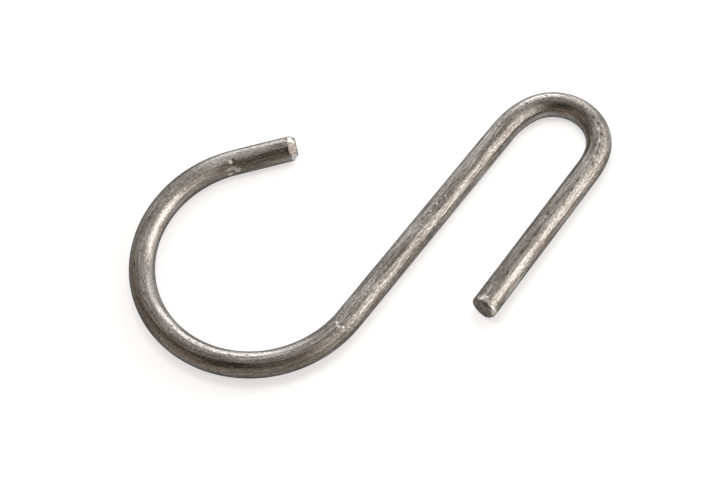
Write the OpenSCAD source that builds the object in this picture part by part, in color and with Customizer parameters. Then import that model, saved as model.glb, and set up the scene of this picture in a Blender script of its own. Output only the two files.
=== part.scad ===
// Wire display hook: an open loop, a straight shank and a narrow seat bend,
// bent in one plane from a single length of drawn round steel wire.
// It lies flat on its side, with the shank along +X.

/* [Wire] */
// Diameter of the drawn wire
wire_d = 6; // [4:0.1:8]
// Share of its diameter that the wire would lose in a bend of one wire diameter
draw_down = 0.03; // [0.02:0.005:0.05]

/* [Load loop] */
// Inside diameter of the open loop that holds the goods
loop_inner_d = 46.8; // [36:0.1:80]
// Angle that the loop turns through
loop_turn = 218.8; // [185:0.1:260]
// Straight tail between the loop and its cropped end
tail_l = 15; // [10:0.1:20]

/* [Shank] */
// Straight length between the loop and the seat bend
shank_l = 59.7; // [40:0.1:120]

/* [Seat bend] */
// Inside diameter of the tight part of the bend that hangs on the rail
seat_inner_d = 14.9; // [10:0.1:30]
// Centreline radius of the easing between the shank and the tight bend
ease_in_r = 20.9; // [19:0.1:40]
// Angle of that easing
ease_in_turn = 23.2; // [10:0.1:35]
// Centreline radius of the easing between the tight bend and the leg
ease_out_r = 19.2; // [19:0.1:40]
// Angle of that easing
ease_out_turn = 13.8; // [10:0.1:35]
// Angle by which the leg stands open from the shank
leg_splay = 0.9; // [0:0.1:6]
// Straight length of the leg behind the rail
leg_l = 43; // [20:0.1:80]

/* [Cropped ends] */
// Length of wire over which the shear rolled the ends' edges
roll_l = 0.9; // [0.4:0.1:1.2]
// Depth of that rolled edge below the wire's surface, at the end face
roll_depth = 0.5; // [0.2:0.1:0.8]
// Angle of the shear face from square, on the leg's end
leg_shear = 7; // [0:0.5:10]
// Angle round the leg, from the hook's plane, to where its shear face stands out most
leg_shear_at = -20; // [-90:1:180]
// Angle of the shear face from square, on the tail's end
tail_shear = 4; // [0:0.5:10]
// Angle round the tail, from the hook's plane, to where its shear face stands out most
tail_shear_at = -60; // [-90:1:180]
// Depth at the end face of the flats that the cutter pressed on the tail
pinch_depth = 1.2; // [0.6:0.1:1.6]
// Slope of those flats from the wire's axis
pinch_slope = 32; // [25:1:50]
// Angle round the tail, from the hook's plane, to the upper flat
pinch_upper_at = 52; // [30:1:90]
// Angle round the tail, from the hook's plane, to the lower flat
pinch_lower_at = -14; // [-60:1:20]

/* [Hidden] */
$fn = 96;

wire_r = wire_d / 2;
loop_r = loop_inner_d / 2 + wire_r;
seat_r = seat_inner_d / 2 + wire_r;
seat_turn = 180 - leg_splay - ease_in_turn - ease_out_turn;
// Length by which each bend's thinner section runs on inside its neighbours
lap = 0.2;
// The rolled edges are parts of one ball: its distance behind the end face, and its radius
roll_back = (roll_l ^ 2 + wire_d * roll_depth - roll_depth ^ 2) / (2 * roll_l);
roll_r = norm([roll_back, wire_r - roll_depth]);
// Side of the block that stands for everything on one side of a cut
block = 5 * wire_d;

// Centres and places in the hook's plane, from the start of the shank
function heading(turn) = [sin(turn), cos(turn)];
seat_c = [shank_l, -ease_in_r] + (ease_in_r - seat_r) * heading(ease_in_turn);
ease_out_c = seat_c - (ease_out_r - seat_r) * heading(ease_in_turn + seat_turn);
leg_start = ease_out_c + ease_out_r * heading(180 - leg_splay);
leg_end = leg_start - leg_l * [cos(leg_splay), sin(leg_splay)];
low_corner = [-loop_r - wire_r, leg_end[1] - wire_r];
high_corner = [seat_c[0] + seat_r + wire_r, 2 * loop_r + wire_r];
middle = (low_corner + high_corner) / 2;

// Diameter of the wire where it is drawn round a bend
function bent_d(r) = wire_d * (1 - draw_down * wire_d / r);

// A straight length of wire along +X, and what follows it
module run(l) {
    rotate([0, 90, 0])
        cylinder(d = wire_d, h = l);
    translate([l, 0, 0])
        children();
}

// A bend that turns left, or right where the turn is negative, and what follows it
module bend(r, turn) {
    side = sign(turn);
    lap_turn = lap / r * 180 / PI;
    translate([0, side * r, 0]) {
        rotate_extrude(angle = turn + 2 * side * lap_turn, start = -side * (90 + lap_turn))
            translate([r, 0])
                circle(d = bent_d(r));
        rotate([0, 0, turn])
            translate([0, -side * r, 0])
                children();
    }
}

// A block whose one face lies across the wire's axis at the origin
module beyond() {
    translate([0, -block / 2, -block / 2])
        cube(block);
}

// The last straight length: its edge is rolled over and its face sheared off at an angle.
// Children are cut away from its end as well.
module cropped_run(l, shear, shear_at) {
    run(l - roll_back)
        difference() {
            rotate([0, 90, 0])
                rotate_extrude()
                    intersection() {
                        square([wire_r, 2 * roll_r]);
                        circle(roll_r);
                    }
            translate([roll_back, 0, 0]) {
                rotate([shear_at, 0, 0])
                    rotate([0, 0, -shear])
                        beyond();
                children();
            }
        }
}

// What the cutter pressed away at one place round the wire
module pinch(at) {
    rotate([at, 0, 0])
        translate([0, wire_r - pinch_depth, 0])
            rotate([0, 0, 90 - pinch_slope])
                beyond();
}

module hook() {
    color([0.55, 0.52, 0.49])
        translate([-middle[0], -middle[1], wire_r]) {
            run(shank_l)
                bend(ease_in_r, -ease_in_turn)
                    bend(seat_r, -seat_turn)
                        bend(ease_out_r, -ease_out_turn)
                            cropped_run(leg_l, leg_shear, leg_shear_at);
            mirror([1, 0, 0])
                bend(loop_r, loop_turn)
                    cropped_run(tail_l, tail_shear, tail_shear_at) {
                        pinch(pinch_upper_at);
                        pinch(pinch_lower_at);
                    }
        }
}

hook();
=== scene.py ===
import math

import bmesh
import bpy
from mathutils import Matrix, Vector, noise


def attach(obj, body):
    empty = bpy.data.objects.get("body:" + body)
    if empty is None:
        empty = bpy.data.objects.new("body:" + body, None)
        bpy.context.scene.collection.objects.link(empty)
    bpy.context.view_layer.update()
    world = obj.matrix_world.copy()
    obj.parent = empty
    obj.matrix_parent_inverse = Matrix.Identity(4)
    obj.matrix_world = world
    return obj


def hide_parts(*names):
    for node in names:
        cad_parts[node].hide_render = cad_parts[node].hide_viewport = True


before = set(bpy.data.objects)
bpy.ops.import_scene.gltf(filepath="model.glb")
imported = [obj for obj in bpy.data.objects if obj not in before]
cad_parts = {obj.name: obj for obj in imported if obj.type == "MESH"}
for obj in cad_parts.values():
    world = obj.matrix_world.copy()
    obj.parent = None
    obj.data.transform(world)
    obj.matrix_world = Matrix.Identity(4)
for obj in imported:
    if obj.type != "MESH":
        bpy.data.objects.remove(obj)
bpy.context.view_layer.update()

# Sizes are in millimetres until a mesh is finished, and MM takes them to metres.
MM = 0.001

# The wire's radius, and the share of its diameter that it would lose in a bend of one diameter
WIRE_R = 3.0
DRAW_DOWN = 0.03
# Share of its radius that the wire keeps, so that its fine facets stay inside the coarser solid's
SKIN = 0.997

# The bends and straights, in the order in which they are bent, from the tail to the leg: radius
# of the wire's axis, angle in degrees, and straight length
TAIL_L = 15.0
LOOP_R = 26.4
LOOP_TURN = 218.8
SHANK_L = 59.7
EASE_IN_R = 20.9
EASE_IN_TURN = 23.2
SEAT_R = 10.45
EASE_OUT_R = 19.2
EASE_OUT_TURN = 13.8
LEG_L = 43.0
# Angle by which the leg stands open from the shank
LEG_SPLAY = 0.9
SEAT_TURN = 180 - LEG_SPLAY - EASE_IN_TURN - EASE_OUT_TURN
# Centre of the loop, when the origin is in the middle of the hook
LOOP_C = Vector((-23.9333, 11.3522))


def arc(radius, turn):
    """Length of wire in a bend."""
    return radius * math.radians(turn)


# Each stretch of the wire: its length, and its curvature, positive where it turns left
STRETCHES = [
    (TAIL_L, 0.0),
    (arc(LOOP_R, LOOP_TURN), 1 / LOOP_R),
    (SHANK_L, 0.0),
    (arc(EASE_IN_R, EASE_IN_TURN), -1 / EASE_IN_R),
    (arc(SEAT_R, SEAT_TURN), -1 / SEAT_R),
    (arc(EASE_OUT_R, EASE_OUT_TURN), -1 / EASE_OUT_R),
    (LEG_L, 0.0),
]
WIRE_L = sum(length for length, curve in STRETCHES)

# The cropped ends
# Rolled edge of each end: its length along the wire and its depth at the end's face
LEG_ROLL = (0.55, 0.3)
TAIL_ROLL = (1.2, 0.85)
# Angle of each shear face from square, and the angle round the wire where it stands out most
LEG_SHEAR = 7.0
LEG_SHEAR_AT = -20.0
TAIL_SHEAR = -1.0
TAIL_SHEAR_AT = -60.0
# The tail's end bulges past its square cut by this much
TAIL_BULGE = 0.22
# Length of wire over which the shape of an end fades out
CROP_L = 8.0
# Nearer than this to the end, a point lies on its face
ON_FACE = 1e-5
# Rounds after which the place of a sheared end's rim no longer changes
RIM_ROUNDS = 6

# Flats that the cutter pressed on the tail: angle round it, depth, slope and wear
FLATS = [
    (106, 0.5, 15, 0.42),
    (52, 1.2, 32, -0.4),
    (2, 1.2, 36, 1.4),
    (-45, 1.1, 42, 1.2),
]
# Length of tail that a flat may reach, and the place on its axis towards which it is pressed
PRESSED_L = 4.0
PRESS_TO = 3.0
# How far the edges of the flats stray, over what height, and the waves per millimetre of that
TORN = 0.14
TORN_RIM = 0.5
TORN_WAVES = 2.1
# Least depth of pressed steel that shows its wear
WORN_FROM = 0.03

# How far the marks' edges stray, as a share, and the waves per millimetre of that
RAGGED = 0.8
RAGGED_WAVES = 2.7
# How far along the wire a mark may reach at most, in half lengths
MARK_REACH = 1.5
# Share of its depth from which a mark shows its full wear and painted light
MARK_FULL_FROM = 0.5

# The mesh of the wire: its sides, its rings, and those that crowd in the last stretch of each end
SIDES = 84
RINGS = 1040
END_RINGS = 42
END_L = 2.6
# Widths of the rings in each end's face, from its rim inwards
DISC_RINGS = (0.12, 0.2, 0.25, 0.3, 0.3, 0.3, 0.3, 0.3, 0.3, 0.3)
# Angle in degrees from which an edge is shaded as a sharp one
SHARP_FROM = 32


def polar(angle, radius=1.0):
    """Point at that angle in degrees round the origin."""
    return Vector((radius * math.cos(math.radians(angle)), radius * math.sin(math.radians(angle))))


def direction(azimuth, elevation):
    """Unit vector that points that way."""
    flat = polar(azimuth, math.cos(math.radians(elevation)))
    return Vector((flat.x, flat.y, math.sin(math.radians(elevation))))


def carried(place, heading, curve, run):
    """Place and heading after a run of wire of even curvature."""
    if not curve:
        return place + polar(heading, run), heading
    turned = heading + math.degrees(curve * run)
    centre = place + polar(heading + 90, 1 / curve)
    return centre - polar(turned + 90, 1 / curve), turned


def joints_of_wire():
    """Where each stretch starts: distance along the wire, place, heading and curvature."""
    side_angle = 270 - LOOP_TURN
    heading = side_angle + 90
    place = LOOP_C + polar(side_angle, LOOP_R) - polar(heading, TAIL_L)
    along = 0.0
    found = []
    for length, curve in STRETCHES:
        found.append((along, place, heading, curve))
        place, heading = carried(place, heading, curve, length)
        along += length
    return found


def pose_at(joints, along):
    """Place, heading and curvature of the wire's axis at a distance along it."""
    start, place, heading, curve = joints[0]
    for joint in joints[1:]:
        if along < joint[0]:
            break
        start, place, heading, curve = joint
    place, heading = carried(place, heading, curve, along - start)
    return place, heading, curve


# ---------------------------------------------------------------- the blank

def ring_place(share):
    """Distance along the blank of the ring at that share of all rings: they crowd at the ends."""
    rings = RINGS + 1
    number = round(share * rings)
    if number <= END_RINGS:
        return number * END_L / END_RINGS
    if number >= rings - END_RINGS:
        return WIRE_L - (rings - number) * END_L / END_RINGS
    step = (WIRE_L - 2 * END_L) / (rings - 2 * END_RINGS)
    return END_L + (number - END_RINGS) * step


def straight_blank():
    """A round wire along +X, from the tail's end to the leg's, closed by discs of rings."""
    bm = bmesh.new()
    bmesh.ops.create_cone(bm, cap_ends=True, cap_tris=False, segments=SIDES,
                          radius1=WIRE_R, radius2=WIRE_R, depth=WIRE_L)
    bmesh.ops.rotate(bm, verts=bm.verts, matrix=Matrix.Rotation(math.pi / 2, 3, "Y"))
    bmesh.ops.translate(bm, verts=bm.verts, vec=(WIRE_L / 2, 0, 0))
    long_edges = [edge for edge in bm.edges if edge.calc_length() > WIRE_L / 2]
    bmesh.ops.subdivide_edges(bm, edges=long_edges, cuts=RINGS)
    for vert in bm.verts:
        vert.co.x = ring_place(vert.co.x / WIRE_L)
    for disc in [face for face in bm.faces if len(face.verts) == SIDES]:
        ring_disc(bm, disc)
    bmesh.ops.recalc_face_normals(bm, faces=bm.faces)
    return bm


def ring_disc(bm, disc):
    """Divides one end's disc into rings and a centre, as faces of the second material."""
    disc.material_index = 1
    for width in DISC_RINGS:
        bmesh.ops.inset_region(bm, faces=[disc], thickness=width, use_even_offset=True)
    bmesh.ops.poke(bm, faces=[disc])


def ball_radius(out, roll):
    """Radius of the rolled edge at a distance outward from the end's nominal face."""
    length, depth = roll
    back = (length ** 2 + 2 * WIRE_R * depth - depth ** 2) / (2 * length)
    ball = math.hypot(back, WIRE_R - depth)
    reach = out + back
    if reach <= 0:
        return WIRE_R
    return min(WIRE_R, math.sqrt(max(0.0, ball ** 2 - reach ** 2)))


def rim_out(angle, roll, shear, shear_at):
    """How far outward the rim of a sheared end lies at an angle round the wire."""
    lean = math.cos(math.radians(angle - shear_at)) * math.tan(math.radians(shear))
    out = 0.0
    for _ in range(RIM_ROUNDS):
        out = ball_radius(out, roll) * lean
    return out


def angle_round(vert):
    """Angle of a point round the straight blank."""
    return math.degrees(math.atan2(vert.co.z, vert.co.y))


def crop_end(bm, at_tail, roll, shear, shear_at):
    """Rolls the edge of one end over and shears its face."""
    outward = -1.0 if at_tail else 1.0
    end_x = 0.0 if at_tail else WIRE_L
    for vert in bm.verts:
        inside = (end_x - vert.co.x) * outward
        if inside > CROP_L:
            continue
        angle = angle_round(vert)
        rim = rim_out(angle, roll, shear, shear_at)
        if inside < ON_FACE:
            share = math.hypot(vert.co.y, vert.co.z) / WIRE_R
            radius = share * ball_radius(rim, roll)
            out = share * rim
        else:
            out = rim * (1 - inside / CROP_L) ** 2 - inside
            radius = ball_radius(out, roll)
        if at_tail:
            out += TAIL_BULGE * (1 - inside / CROP_L)
        turn = polar(angle, radius)
        vert.co = Vector((end_x + outward * out, turn.x, turn.y))


def press_flat(bm, wear_and_painted_light, at, depth, slope, shine):
    """Presses one flat with a torn edge onto the tail's end, at an angle round the wire."""
    side = polar(at)
    tilt = math.radians(slope)
    normal = Vector((-math.sin(tilt), math.cos(tilt) * side.x, math.cos(tilt) * side.y))
    through = Vector((0, side.x, side.y)) * (WIRE_R - depth)
    heart = Vector((PRESS_TO, 0, 0))
    level = (through - heart).dot(normal)
    for vert in bm.verts:
        if vert.co.x > PRESSED_L:
            continue
        arm = vert.co - heart
        reach = arm.dot(normal)
        over = reach - level
        if over <= 0:
            continue
        edge = 1 - min(1.0, over / TORN_RIM)
        stray = TORN * edge * noise.noise(vert.co * TORN_WAVES)
        vert.co = heart + arm * min(1.0, (level + stray) / reach)
        if over > WORN_FROM:
            vert[wear_and_painted_light] = shine


# Marks on the wire: distance along it, angle round it, length, width, depth, and wear with painted
# light, which is above 0 where the steel is rubbed bright and where a highlight is painted, and
# below 0 where it is dark and where shade is painted
MARKS = [
    # Bands and streaks without depth, lighter or darker along one side of the wire: painted
    # highlights, painted reflections and painted shade
    (15.0, 82, 27.0, 5.0, 0, 0.36),
    (34.0, 36, 44.0, 4.0, 0, 0.25),
    (92.0, 70, 40.0, 3.2, 0, 0.22),
    (132.0, 138, 30.0, 3.0, 0, -0.3),
    (160.0, 112, 60.0, 3.6, 0, -0.22),
    (178.0, 98, 40.0, 3.0, 0, -0.2),
    (226.0, 112, 30.0, 3.0, 0, -0.25),
    (226.0, 42, 30.0, 2.6, 0, -0.2),
    (190.0, 62, 44.0, 2.6, 0, -0.2),
    (249.0, 100, 9.0, 2.4, 0, -0.25),
    (182.0, 162, 24.0, 2.4, 0, 0.55),
    (210.0, 52, 12.0, 3.0, 0, -0.4),
    (158.0, 76, 11.0, 1.6, 0, -0.3),
    (186.0, 78, 15.0, 1.5, 0, 0.5),
    (124.0, 82, 18.0, 1.0, 0, 0.4),
    (134.0, 101, 22.0, 1.0, 0, -0.4),
    (29.0, 132, 12.0, 3.2, 0, -0.3),
    (18.0, 64, 12.0, 2.2, 0, 0.25),
    (60.0, 28, 12.0, 1.6, 0, 0.35),
    (230.0, 34, 22.0, 1.5, 0, -0.25),
    (250.0, 14, 10.0, 1.7, 0, 0.8),
    (232.0, 162, 24.0, 1.8, 0, -0.8),
    (60.0, 158, 28.0, 1.5, 0, -0.45),
    (210.0, 108, 10.0, 1.9, 0, -0.35),
    (98.0, 66, 14.0, 2.4, 0, 0.22),
    (33.0, 100, 8.0, 1.4, 0, -0.4),
    (240.0, 40, 8.0, 1.2, 0, -0.35),
    (238.0, 88, 19.0, 0.8, 0, -0.35),
    (24.0, -16, 14.0, 1.8, 0, -0.4),
    (164.0, 139, 16.0, 1.2, 0, -0.3),
    # The tail's cropped end
    (2.4, 50, 1.6, 2.4, 0.03, -0.4),
    (1.9, 113, 1.3, 0.9, 0.08, -0.9),
    (1.4, 82, 1.3, 1.5, 0.03, 0.7),
    (0.5, 92, 1.2, 1.8, 0.02, 0.5),
    (3.1, 60, 0.9, 0.9, 0.05, 0.5),
    # Where a clamp held the tail
    (15.3, 66, 1.9, 1.7, 0.16, 1.5),
    (15.9, 30, 3.6, 1.6, 0.14, 1.5),
    (14.4, 17, 1.6, 1.6, 0.14, 1.2),
    (16.6, 3, 1.8, 1.3, 0.10, 1.4),
    # Pits and nicks round the loop
    (33.7, 89, 1.0, 0.6, 0.09, -0.8),
    (40.2, 94, 1.2, 0.6, 0.08, -0.8),
    (52.0, 114, 1.0, 0.7, 0.08, -0.8),
    (59.8, 92, 1.2, 0.6, 0.08, -0.7),
    (70.6, 69, 0.9, 0.6, 0.10, -0.9),
    (76.3, 68, 1.0, 0.6, 0.10, -0.9),
    (77.9, 65, 1.3, 0.6, 0.10, -0.9),
    (80.2, 63, 0.9, 0.6, 0.10, -0.9),
    (86.5, 77, 1.1, 0.6, 0.10, -0.9),
    (90.5, 70, 1.3, 0.6, 0.10, -0.9),
    (87.3, 128, 2.0, 0.5, 0.05, 0.7),
    # The nick where the loop meets the shank
    (112.7, 82, 0.8, 1.0, 0.14, 1.6),
    (112.3, 99, 0.8, 1.3, 0.14, 1.6),
    (112.9, 119, 0.8, 0.7, 0.12, 1.6),
    # Scuffs on the shank
    (144.1, 81, 1.0, 0.7, 0.12, -1.0),
    (147.1, 84, 0.8, 0.7, 0.12, 1.5),
    (149.5, 86, 0.9, 0.7, 0.12, 1.6),
    (152.2, 92, 0.8, 0.7, 0.12, 1.5),
    # The cracked line over the narrow bend
    (183.4, 84, 1.0, 0.6, 0.09, -1.2),
    (188.3, 74, 1.1, 0.6, 0.09, -1.2),
    (201.0, 92, 1.3, 0.5, 0.10, -1.4),
    (203.0, 86, 1.3, 0.6, 0.12, -1.5),
    (204.4, 91, 1.2, 0.6, 0.12, 1.3),
    (206.0, 85, 1.4, 0.6, 0.14, -1.6),
    (207.6, 90, 1.2, 0.6, 0.12, 1.3),
    (209.0, 86, 1.5, 0.6, 0.14, -1.6),
    (211.2, 82, 1.5, 0.6, 0.14, -1.5),
    (212.2, 88, 1.0, 0.5, 0.10, 1.2),
    (214.1, 77, 1.4, 0.6, 0.12, -1.4),
    # Pits along the leg
    (219.6, 87, 1.3, 0.5, 0.10, -1.2),
    (222.6, 80, 1.2, 0.5, 0.10, -1.1),
    (230.7, 101, 1.4, 0.5, 0.10, -1.2),
    (236.8, 87, 1.4, 0.5, 0.10, -1.2),
    (241.8, 87, 1.6, 0.5, 0.10, -1.3),
    (248.2, 86, 1.6, 0.5, 0.10, -1.3),
    (251.0, 108, 1.0, 0.6, 0.08, -1.2),
    # The leg's cropped end, burnished by the cutter
    (256.5, 120, 1.5, 2.2, 0.03, 0.5),
    (255.9, 102, 1.8, 1.8, 0.06, 0.9),
    (255.5, 90, 0.9, 0.9, 0.08, 1.1),
    (256.2, 80, 0.8, 0.8, 0.08, 0.9),
    # Painted highlight, partly burnish: the pale band along the lower rim of the leg's end
    (256.9, 18, 1.8, 3.4, 0.02, 1.5),
    (256.7, 92, 0.4, 0.5, 0.06, -0.5),
    (256.8, 77, 0.4, 0.5, 0.06, -0.5),
    (256.6, 62, 0.5, 0.6, 0.1, -0.9),
    (257.4, 84, 0.4, 1.8, 0, 0.6),
]


def lay_marks(bm, wear_and_painted_light):
    """Presses each mark into the wire, with a ragged edge, and keeps its wear and painted light."""
    slices = {}
    for vert in bm.verts:
        slices.setdefault(int(vert.co.x), []).append(vert)
    for along, angle, length, width, depth, shine in MARKS:
        near = range(int(along - length), int(along + length) + 1)
        for vert in [vert for part in near for vert in slices.get(part, [])]:
            far = (vert.co.x - along) / (length / 2)
            if abs(far) > MARK_REACH:
                continue
            round_by = (angle_round(vert) - angle + 180) % 360 - 180
            side = arc(WIRE_R, round_by) / (width / 2)
            stray = 1 + RAGGED * noise.noise(vert.co * RAGGED_WAVES)
            reach = (far * far + side * side) * stray
            if reach > 1:
                continue
            share = (1 - reach) ** 2
            vert[wear_and_painted_light] += shine * min(1.0, share / MARK_FULL_FROM)
            scale = 1 - depth * share / WIRE_R
            vert.co.y *= scale
            vert.co.z *= scale


def to_metres_bent(bm, joints):
    """Bends the blank into the hook, laid flat, and takes it to metres."""
    for vert in bm.verts:
        place, heading, curve = pose_at(joints, vert.co.x)
        thin = SKIN - DRAW_DOWN * 2 * WIRE_R * abs(curve)
        flat = place + polar(heading + 90) * (vert.co.y * thin)
        vert.co = Vector((flat.x, flat.y, WIRE_R + vert.co.z * thin)) * MM


def placed(name, data):
    """An object of that data, in the scene."""
    made = bpy.data.objects.new(name, data)
    bpy.context.scene.collection.objects.link(made)
    return made


def mesh_of(name, bm):
    """A mesh made of what was modelled."""
    mesh = bpy.data.meshes.new(name)
    bm.to_mesh(mesh)
    bm.free()
    return mesh


def wire_hook():
    """The whole hook as one closed mesh, with its place in the straight blank kept on it."""
    bm = straight_blank()
    blank = bm.verts.layers.float_vector.new("blank")
    # This layer keeps the marks' wear and their painted highlights and shade
    wear_and_painted_light = bm.verts.layers.float.new("wear_and_painted_light")
    crop_end(bm, True, TAIL_ROLL, TAIL_SHEAR, TAIL_SHEAR_AT)
    crop_end(bm, False, LEG_ROLL, LEG_SHEAR, LEG_SHEAR_AT)
    for flat in FLATS:
        press_flat(bm, wear_and_painted_light, *flat)
    lay_marks(bm, wear_and_painted_light)
    for vert in bm.verts:
        vert[blank] = vert.co
    to_metres_bent(bm, joints_of_wire())
    mesh = mesh_of("hook_wire", bm)
    mesh.shade_smooth()
    mesh.set_sharp_from_angle(angle=math.radians(SHARP_FROM))
    return placed("hook_wire", mesh)


# ---------------------------------------------------------------- finishes

def add(tree, kind, settings, inputs):
    """A node with its settings, and with each input given a value or another node's output."""
    made = tree.nodes.new(kind)
    for name, value in settings.items():
        setattr(made, name, value)
    for name, value in inputs.items():
        if isinstance(value, bpy.types.NodeSocket):
            tree.links.new(value, made.inputs[name])
        else:
            made.inputs[name].default_value = value
    return made


def math_node(tree, operation, *inputs):
    """The output of a Math node."""
    return add(tree, "ShaderNodeMath", {"operation": operation}, dict(enumerate(inputs))).outputs[0]


def vector_node(tree, operation, inputs):
    """A Vector Math node."""
    return add(tree, "ShaderNodeVectorMath", {"operation": operation}, inputs)


def ranged(tree, value, low, high, new_low, new_high):
    """A value taken from one range to another, and held there."""
    return add(tree, "ShaderNodeMapRange", {}, {
        "Value": value, "From Min": low, "From Max": high,
        "To Min": new_low, "To Max": new_high}).outputs["Result"]


def ramp_of(tree, value, stops):
    """The colour that a ramp gives for a value."""
    ramp = add(tree, "ShaderNodeValToRGB", {}, {"Fac": value})
    elements = ramp.color_ramp.elements
    while len(elements) < len(stops):
        elements.new(0.5)
    for element, (place, colour) in zip(elements, stops):
        element.position = place
        element.color = (*colour, 1)
    return ramp.outputs["Color"]


def of_blank(tree):
    """Place of each point on the straight blank, in millimetres."""
    return add(tree, "ShaderNodeAttribute", {"attribute_name": "blank"}, {}).outputs["Vector"]


def grain(tree, along, across, start, detail):
    """Noise laid along the wire, by its waves per millimetre along and across it."""
    laid = add(tree, "ShaderNodeMapping", {}, {
        "Vector": of_blank(tree), "Location": (start, start / 2, 0),
        "Scale": (along, across, across)})
    return add(tree, "ShaderNodeTexNoise", {}, {
        "Vector": laid.outputs["Vector"], "Scale": 1.0,
        "Detail": detail, "Roughness": 0.55}).outputs["Fac"]


def weighed(tree, parts):
    """The sum of several noises about a half, each with its weight."""
    total = 0.5 - sum(weight for part, weight in parts) / 2
    for part, weight in parts:
        total = math_node(tree, "MULTIPLY_ADD", part, weight, total)
    return total


def node_material(name):
    """A material with an empty node tree."""
    material = bpy.data.materials.new(name)
    material.use_nodes = True
    material.node_tree.nodes.clear()
    return material, material.node_tree


def bare_metal(name):
    """A metal with nothing but its Principled BSDF yet."""
    material, tree = node_material(name)
    skin = add(tree, "ShaderNodeBsdfPrincipled", {}, {"Metallic": 1.0})
    add(tree, "ShaderNodeOutputMaterial", {}, {"Surface": skin.outputs["BSDF"]})
    return material, tree, skin.inputs


def dress(tree, skin, tone, rough, height, relief, depth):
    """Gives a metal its colour, its roughness, and the relief of a height over that depth."""
    bump = add(tree, "ShaderNodeBump", {}, {
        "Strength": relief, "Distance": depth, "Height": height})
    tree.links.new(tone, skin["Base Color"])
    tree.links.new(rough, skin["Roughness"])
    tree.links.new(bump.outputs["Normal"], skin["Normal"])


# Grain of the steel: waves per millimetre along the wire and across it, where it starts, detail
LONG_LINES = (0.03, 3.2, 3, 2.0)
STREAKS = (0.14, 4.0, 11, 2.0)
FINE_GRAIN = (1.5, 4.8, 23, 2.0)
PATCHES = (0.09, 0.35, 31, 4.0)
PITS = (1.3, 2.4, 47, 1.0)
SPECKS = (1.6, 2.6, 59, 1.0)
SCORES = (0.2, 3.4, 71, 2.0)
MOTTLE = (1.0, 1.1, 83, 3.0)

# Where the noise makes a pit and a rubbed speck: from none at the first value to all at the second
PIT_EDGE = (0.33, 0.24, 0.0, 1.0)
SPECK_EDGE = (0.68, 0.78, 0.0, 1.0)
# What a pit, a speck, and wear with painted highlights and shade add to the steel's tone
PIT_TONE = -0.4
SPECK_TONE = 0.35
WEAR_AND_PAINTED_LIGHT_TONE = 0.4
# What wear and painted light add to the noise that gives the roughness, and a pit to the height
WEAR_AND_PAINTED_LIGHT_ROUGH = -0.15
PIT_HEIGHT = -0.9
# Contrast of the tone and strength of the relief, where the grain is fine, and what coarse adds
CONTRAST_FINE = 0.9
CONTRAST_COARSE = 0.5
RELIEF_FINE = 0.6
RELIEF_COARSE = 0.35

# Range of the noise, and the roughness at its two ends
STEEL_ROUGH = (0.25, 0.75, 0.17, 0.42)
TORN_ROUGH = (0.3, 0.7, 0.7, 0.48)
# Depth of the relief, in metres
STEEL_DEPTH = 0.00004
TORN_DEPTH = 0.0001

# Colours of the steel, from its darkest tarnish to rubbed metal, and its tint at a slant
STEEL_TONES = [
    (0.1, (0.115, 0.095, 0.079)),
    (0.38, (0.22, 0.195, 0.173)),
    (0.5, (0.31, 0.285, 0.262)),
    (0.66, (0.44, 0.415, 0.39)),
    (0.85, (0.6, 0.58, 0.55)),
    (1.0, (0.84, 0.83, 0.81)),
]
STEEL_AT_SLANT = (0.66, 0.64, 0.62, 1)
# Colours of the torn steel in the faces of the ends
TORN_TONES = [
    (0.25, (0.15, 0.126, 0.106)),
    (0.5, (0.29, 0.257, 0.23)),
    (0.75, (0.46, 0.425, 0.39)),
]

# Stretches along the wire over which its grain grows coarser towards the shank, finer again in
# the narrow bend and a little coarser on the leg, and by how much
COARSE_SHANK = (95.0, 125.0, 0.0, 1.0)
FINE_BEND = (150.0, 175.0, 0.0, 0.6)
COARSE_LEG = (205.0, 222.0, 0.0, 0.15)


def coarseness(tree):
    """How coarse the grain is: 0 on the loop, 1 on the shank, and less on the bend and leg."""
    along = add(tree, "ShaderNodeSeparateXYZ", {}, {"Vector": of_blank(tree)}).outputs["X"]
    calm = math_node(tree, "SUBTRACT", ranged(tree, along, *FINE_BEND),
                     ranged(tree, along, *COARSE_LEG))
    return math_node(tree, "SUBTRACT", ranged(tree, along, *COARSE_SHANK), calm)


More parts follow.
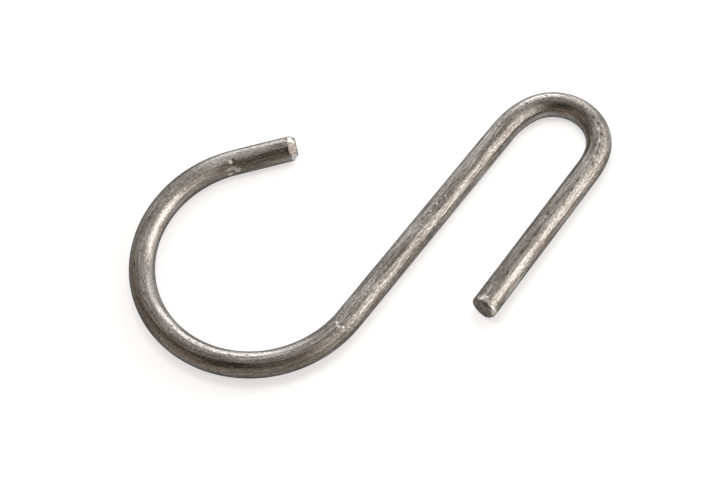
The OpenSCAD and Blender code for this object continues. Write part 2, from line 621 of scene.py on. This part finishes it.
def drawn_steel():
    """Raw drawn steel: dull grey-brown, with fine lines along the wire, pits, rubbed spots, and
    painted highlights and shade.
    """
    material, tree, skin = bare_metal("drawn_steel")
    long_lines = grain(tree, *LONG_LINES)
    streaks = grain(tree, *STREAKS)
    fine = grain(tree, *FINE_GRAIN)
    patches = grain(tree, *PATCHES)
    pits = ranged(tree, grain(tree, *PITS), *PIT_EDGE)
    specks = ranged(tree, grain(tree, *SPECKS), *SPECK_EDGE)
    wear_and_painted_light = add(tree, "ShaderNodeAttribute", {"attribute_name": "wear_and_painted_light"}, {}).outputs["Fac"]
    coarse = coarseness(tree)
    contrast = math_node(tree, "MULTIPLY_ADD", coarse, CONTRAST_COARSE, CONTRAST_FINE)
    tone = weighed(tree, [(long_lines, 0.45), (streaks, 1.0), (fine, 1.1), (patches, 0.5)])
    tone = math_node(tree, "SUBTRACT", tone, 0.5)
    tone = math_node(tree, "MULTIPLY_ADD", tone, contrast, 0.5)
    tone = math_node(tree, "MULTIPLY_ADD", pits, PIT_TONE, tone)
    tone = math_node(tree, "MULTIPLY_ADD", specks, SPECK_TONE, tone)
    # Wear, with painted highlights and painted shade, lightens or darkens the tone here
    tone = math_node(tree, "MULTIPLY_ADD", wear_and_painted_light, WEAR_AND_PAINTED_LIGHT_TONE, tone)
    rough = weighed(tree, [(patches, 0.5), (streaks, 0.3)])
    rough = math_node(tree, "MULTIPLY_ADD", wear_and_painted_light, WEAR_AND_PAINTED_LIGHT_ROUGH, rough)
    rough = ranged(tree, rough, *STEEL_ROUGH)
    height = weighed(tree, [(long_lines, 0.4), (streaks, 0.9), (fine, 0.8)])
    height = math_node(tree, "MULTIPLY_ADD", pits, PIT_HEIGHT, height)
    relief = math_node(tree, "MULTIPLY_ADD", coarse, RELIEF_COARSE, RELIEF_FINE)
    skin["Specular Tint"].default_value = STEEL_AT_SLANT
    dress(tree, skin, ramp_of(tree, tone, STEEL_TONES), rough, height, relief, STEEL_DEPTH)
    return material


def sheared_steel():
    """The dark torn face of a cropped end, scored by the cutter."""
    material, tree, skin = bare_metal("sheared_steel")
    scores = grain(tree, *SCORES)
    mottle = grain(tree, *MOTTLE)
    tone = weighed(tree, [(scores, 0.8), (mottle, 1.1)])
    rough = ranged(tree, mottle, *TORN_ROUGH)
    height = weighed(tree, [(scores, 1.0), (mottle, 1.0)])
    dress(tree, skin, ramp_of(tree, tone, TORN_TONES), rough, height, 1.0, TORN_DEPTH)
    return material


# ---------------------------------------------------------------- the stage

# The camera: the point that it looks at, its place, its turn about its line of sight, its lens
TARGET = Vector((-5.604, -3.875, 0.0)) * MM
CAMERA_AT = Vector((-119.456, -118.323, 293.583)) * MM
CAMERA_ROLL = -8.887
CAMERA_LENS = 72.958

# Half the side of the table, in metres, and how dull it is
TABLE_HALF = 3.0
TABLE_ROUGH = 0.45
# How pale the table is to the light that it throws back, and as it is seen
TABLE_SHADE = 0.48
TABLE_SHADE_SEEN = 0.42
# The table's own glow, as it is seen, mirrored in metal and through clear things
TABLE_GLOW_SEEN = 0.62
TABLE_GLOW_MIRRORED = 0.03
TABLE_GLOW_THROUGH = 0.6

# Angle of the room's light side, and its colours on the way there from its dark side
ROOM_LIGHT_AT = -8
ROOM_TONES = [
    (0.0, (0.31, 0.27, 0.225)),
    (0.25, (0.2, 0.175, 0.148)),
    (0.5, (0.55, 0.53, 0.5)),
    (0.7, (0.87, 0.86, 0.84)),
    (1.0, (1.0, 1.0, 1.0)),
]
# Angle of the room's far side, and its tints on the way there from the near side
FAR_SIDE_AT = 45
ROOM_TINTS = [(0.1, (1.05, 1.0, 0.94)), (0.9, (0.98, 1.0, 1.03))]
# A dark part of the room: where it is, how far from its middle it begins and ends to fade, in
# degrees, and the share of light that is left in it
DARK_AT = -163
DARK_HEIGHT = 57
DARK_EDGE = (18, 33)
DARK_SHARE = 0.22
# How much brighter than the ceiling the walls are at the table, and the sine of the elevation at
# which that has faded out
WALL_GLOW = 1.55
WALL_TOP = 0.6

# Lamps: name, azimuth and elevation in degrees, distance and size in metres, power in watts, and
# colour. The side lamps only shine on the metal, and the top lamps only give the soft shadow.
SIDE_LAMPS = [
    ("lamp_far", 28.5, 18, 0.9, (0.76, 0.5), 2.55, (0.98, 1.0, 1.02)),
    ("lamp_near", -50, 28, 0.9, (0.84, 0.75), 3.7, (1.0, 0.97, 0.92)),
]
TOP_LAMPS = [
    ("lamp_near_top", 95, 84, 0.14, (0.04, 0.04), 0.055, (1, 1, 1)),
    ("lamp_far_top", 100, 56, 0.9, (0.7, 0.5), 1.5, (1, 1, 1)),
    ("lamp_bend_top", -32, 55, 0.086, (0.03, 0.03), 0.023, (1, 1, 1)),
]


def place_camera():
    """The camera, looking down at the hook from the loop's lower left."""
    data = bpy.data.cameras.new("camera")
    data.lens = CAMERA_LENS
    data.sensor_width = 36.0
    data.clip_start = 0.01
    data.clip_end = 50.0
    look = (TARGET - CAMERA_AT).normalized()
    level = look.cross(Vector((0, 0, 1))).normalized()
    upright = level.cross(look)
    roll = math.radians(CAMERA_ROLL)
    right = level * math.cos(roll) + upright * math.sin(roll)
    up = upright * math.cos(roll) - level * math.sin(roll)
    turn = Matrix((right, up, -look)).transposed()
    camera = placed("camera", data)
    camera.matrix_world = Matrix.Translation(CAMERA_AT) @ turn.to_4x4()
    bpy.context.scene.camera = camera


def white_table():
    """A white table top that keeps a soft shadow."""
    material, tree = node_material("table_white")
    rays = add(tree, "ShaderNodeLightPath", {}, {}).outputs
    shade = ranged(tree, rays["Is Camera Ray"], 0.0, 1.0, TABLE_SHADE, TABLE_SHADE_SEEN)
    paper = add(tree, "ShaderNodeBsdfPrincipled", {}, {
        "Base Color": shade, "Roughness": TABLE_ROUGH, "Specular IOR Level": 1.0})
    glow = math_node(tree, "MULTIPLY", rays["Is Glossy Ray"], TABLE_GLOW_MIRRORED)
    glow = math_node(tree, "MULTIPLY_ADD", rays["Is Transmission Ray"], TABLE_GLOW_THROUGH, glow)
    glow = math_node(tree, "MULTIPLY_ADD", rays["Is Camera Ray"], TABLE_GLOW_SEEN, glow)
    light = add(tree, "ShaderNodeEmission", {}, {"Strength": glow})
    both = add(tree, "ShaderNodeAddShader", {}, {0: paper.outputs[0], 1: light.outputs[0]})
    add(tree, "ShaderNodeOutputMaterial", {}, {"Surface": both.outputs[0]})
    return material


def lay_floor():
    """A wide table top under the hook."""
    bm = bmesh.new()
    bmesh.ops.create_grid(bm, x_segments=4, y_segments=4, size=TABLE_HALF)
    floor = placed("table_top", mesh_of("table_top", bm))
    floor.data.materials.append(white_table())


def towards(tree, way, there):
    """How nearly a direction points there: 1 where it does, and -1 where it points away."""
    return vector_node(tree, "DOT_PRODUCT", {0: way, 1: there}).outputs["Value"]


def room_light(tree, way):
    """Brightness of the room: brighter walls, and a dark part on one side."""
    middle = towards(tree, way, direction(DARK_AT, DARK_HEIGHT))
    inner, outer = [math.cos(math.radians(angle)) for angle in DARK_EDGE]
    dark = ranged(tree, middle, outer, inner, 1.0, DARK_SHARE)
    height = add(tree, "ShaderNodeSeparateXYZ", {}, {"Vector": way}).outputs["Z"]
    wall = ranged(tree, height, 0.0, WALL_TOP, WALL_GLOW, 1.0)
    return math_node(tree, "MULTIPLY", dark, wall)


def room_colour(tree):
    """Colour of the room in each direction: dark to light, and warm near to cool far."""
    way = add(tree, "ShaderNodeTexCoord", {}, {}).outputs["Generated"]
    side = ranged(tree, towards(tree, way, direction(ROOM_LIGHT_AT, 0)), -1.0, 1.0, 0.0, 1.0)
    across = ranged(tree, towards(tree, way, direction(FAR_SIDE_AT, 0)), -1.0, 1.0, 0.0, 1.0)
    toned = vector_node(tree, "SCALE", {
        0: ramp_of(tree, side, ROOM_TONES), "Scale": room_light(tree, way)})
    tinted = vector_node(tree, "MULTIPLY", {
        0: toned.outputs["Vector"], 1: ramp_of(tree, across, ROOM_TINTS)})
    return tinted.outputs["Vector"]


def light_world():
    """A grey room, lighter on the lamps' side, that shows as white behind the table."""
    world = bpy.data.worlds.new("studio")
    bpy.context.scene.world = world
    world.use_nodes = True
    tree = world.node_tree
    tree.nodes.clear()
    room = add(tree, "ShaderNodeBackground", {}, {"Color": room_colour(tree)})
    white = add(tree, "ShaderNodeBackground", {}, {"Color": (1, 1, 1, 1)})
    path = add(tree, "ShaderNodeLightPath", {}, {})
    mix = add(tree, "ShaderNodeMixShader", {}, {
        "Fac": path.outputs["Is Camera Ray"], 1: room.outputs[0], 2: white.outputs[0]})
    add(tree, "ShaderNodeOutputWorld", {}, {"Surface": mix.outputs[0]})


def area_lamp(name, azimuth, elevation, distance, size, power, colour):
    """A soft lamp that faces the hook from that direction."""
    data = bpy.data.lights.new(name, "AREA")
    data.shape = "RECTANGLE"
    data.size, data.size_y = size
    data.energy = power
    data.color = colour
    lamp = placed(name, data)
    toward = direction(azimuth, elevation)
    lamp.location = toward * distance
    lamp.rotation_euler = toward.to_track_quat("Z", "Y").to_euler()
    return lamp


bpy.context.scene.view_settings.view_transform = "Standard"
place_camera()
lay_floor()
light_world()
for lamp in SIDE_LAMPS:
    area_lamp(*lamp).visible_diffuse = False
for lamp in TOP_LAMPS:
    area_lamp(*lamp).visible_glossy = False

hook = wire_hook()
hook.data.materials.append(drawn_steel())
hook.data.materials.append(sheared_steel())
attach(hook, "root")
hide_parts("hook")
